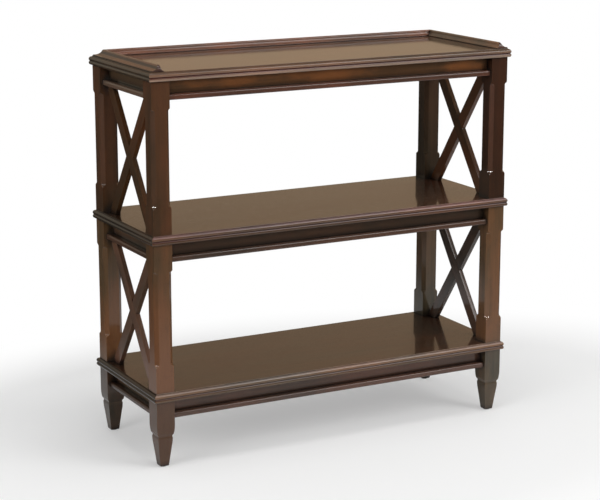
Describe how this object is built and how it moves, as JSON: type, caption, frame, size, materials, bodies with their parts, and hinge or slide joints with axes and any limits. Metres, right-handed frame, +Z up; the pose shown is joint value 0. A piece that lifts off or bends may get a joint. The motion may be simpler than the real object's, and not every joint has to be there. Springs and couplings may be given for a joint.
{
  "type": "accent table",
  "caption": "Open tiered accent table: moulded shelves on square chamfered posts, X-braced ends, recessed aprons, low gallery round the top and tapered feet.",
  "frame": {"origin": "centre of the footprint on the floor", "axes": "+X along the width to the right, -Y to the front (the open side of the gallery), +Z up"},
  "size_m": [0.914, 0.34, 0.893],
  "materials": {
    "slab_wood": "open-grained hardwood, dark espresso-mahogany stain, polished clear lacquer",
    "frame_wood": "open-grained hardwood, dark espresso-mahogany stain, polished clear lacquer",
    "apron_wood": "open-grained hardwood, dark espresso-mahogany stain, polished clear lacquer",
    "brace_wood": "open-grained hardwood, dark espresso-mahogany stain, polished clear lacquer",
    "gallery_wood": "open-grained hardwood, dark espresso-mahogany stain, polished clear lacquer",
    "raw_wood": "bare hardwood, hidden",
    "screw_steel": "zinc plated",
    "glide_nylon": "moulded nylon"
  },
  "bodies": {
    "root": {"foot_front_left": "frame_wood", "lower_post_front_left": "frame_wood", "upper_post_front_left": "frame_wood", "foot_front_right": "frame_wood", "lower_post_front_right": "frame_wood", "upper_post_front_right": "frame_wood", "foot_back_left": "frame_wood", "lower_post_back_left": "frame_wood", "upper_post_back_left": "frame_wood", "foot_back_right": "frame_wood", "lower_post_back_right": "frame_wood", "upper_post_back_right": "frame_wood", "bottom_shelf": "slab_wood", "middle_shelf": "slab_wood", "top_panel": "slab_wood", "apron_board_bottom_front": "apron_wood", "bead_strip_bottom_front": "apron_wood", "apron_board_bottom_right": "apron_wood", "bead_strip_bottom_right": "apron_wood", "apron_board_bottom_back": "apron_wood", "bead_strip_bottom_back": "apron_wood", "apron_board_bottom_left": "apron_wood", "bead_strip_bottom_left": "apron_wood", "corner_blocks_bottom": "raw_wood", "apron_board_middle_front": "apron_wood", "bead_strip_middle_front": "apron_wood", "apron_board_middle_right": "apron_wood", "bead_strip_middle_right": "apron_wood", "apron_board_middle_back": "apron_wood", "bead_strip_middle_back": "apron_wood", "apron_board_middle_left": "apron_wood", "bead_strip_middle_left": "apron_wood", "corner_blocks_middle": "raw_wood", "apron_board_top_front": "apron_wood", "bead_strip_top_front": "apron_wood", "apron_board_top_right": "apron_wood", "bead_strip_top_right": "apron_wood", "apron_board_top_back": "apron_wood", "bead_strip_top_back": "apron_wood", "apron_board_top_left": "apron_wood", "bead_strip_top_left": "apron_wood", "corner_blocks_top": "raw_wood", "brace_lower_left_to_back": "brace_wood", "brace_lower_left_to_front": "brace_wood", "brace_lower_right_to_back": "brace_wood", "brace_lower_right_to_front": "brace_wood", "brace_upper_left_to_back": "brace_wood", "brace_upper_left_to_front": "brace_wood", "brace_upper_right_to_back": "brace_wood", "brace_upper_right_to_front": "brace_wood", "gallery_rail_back": "gallery_wood", "gallery_rail_left": "gallery_wood", "gallery_rail_right": "gallery_wood", "post_dowels": "raw_wood", "apron_dowels": "raw_wood", "brace_dowels": "raw_wood", "gallery_dowels": "raw_wood", "corner_block_screws": "screw_steel", "floor_glides": "glide_nylon"}
  },
  "joints": []
}
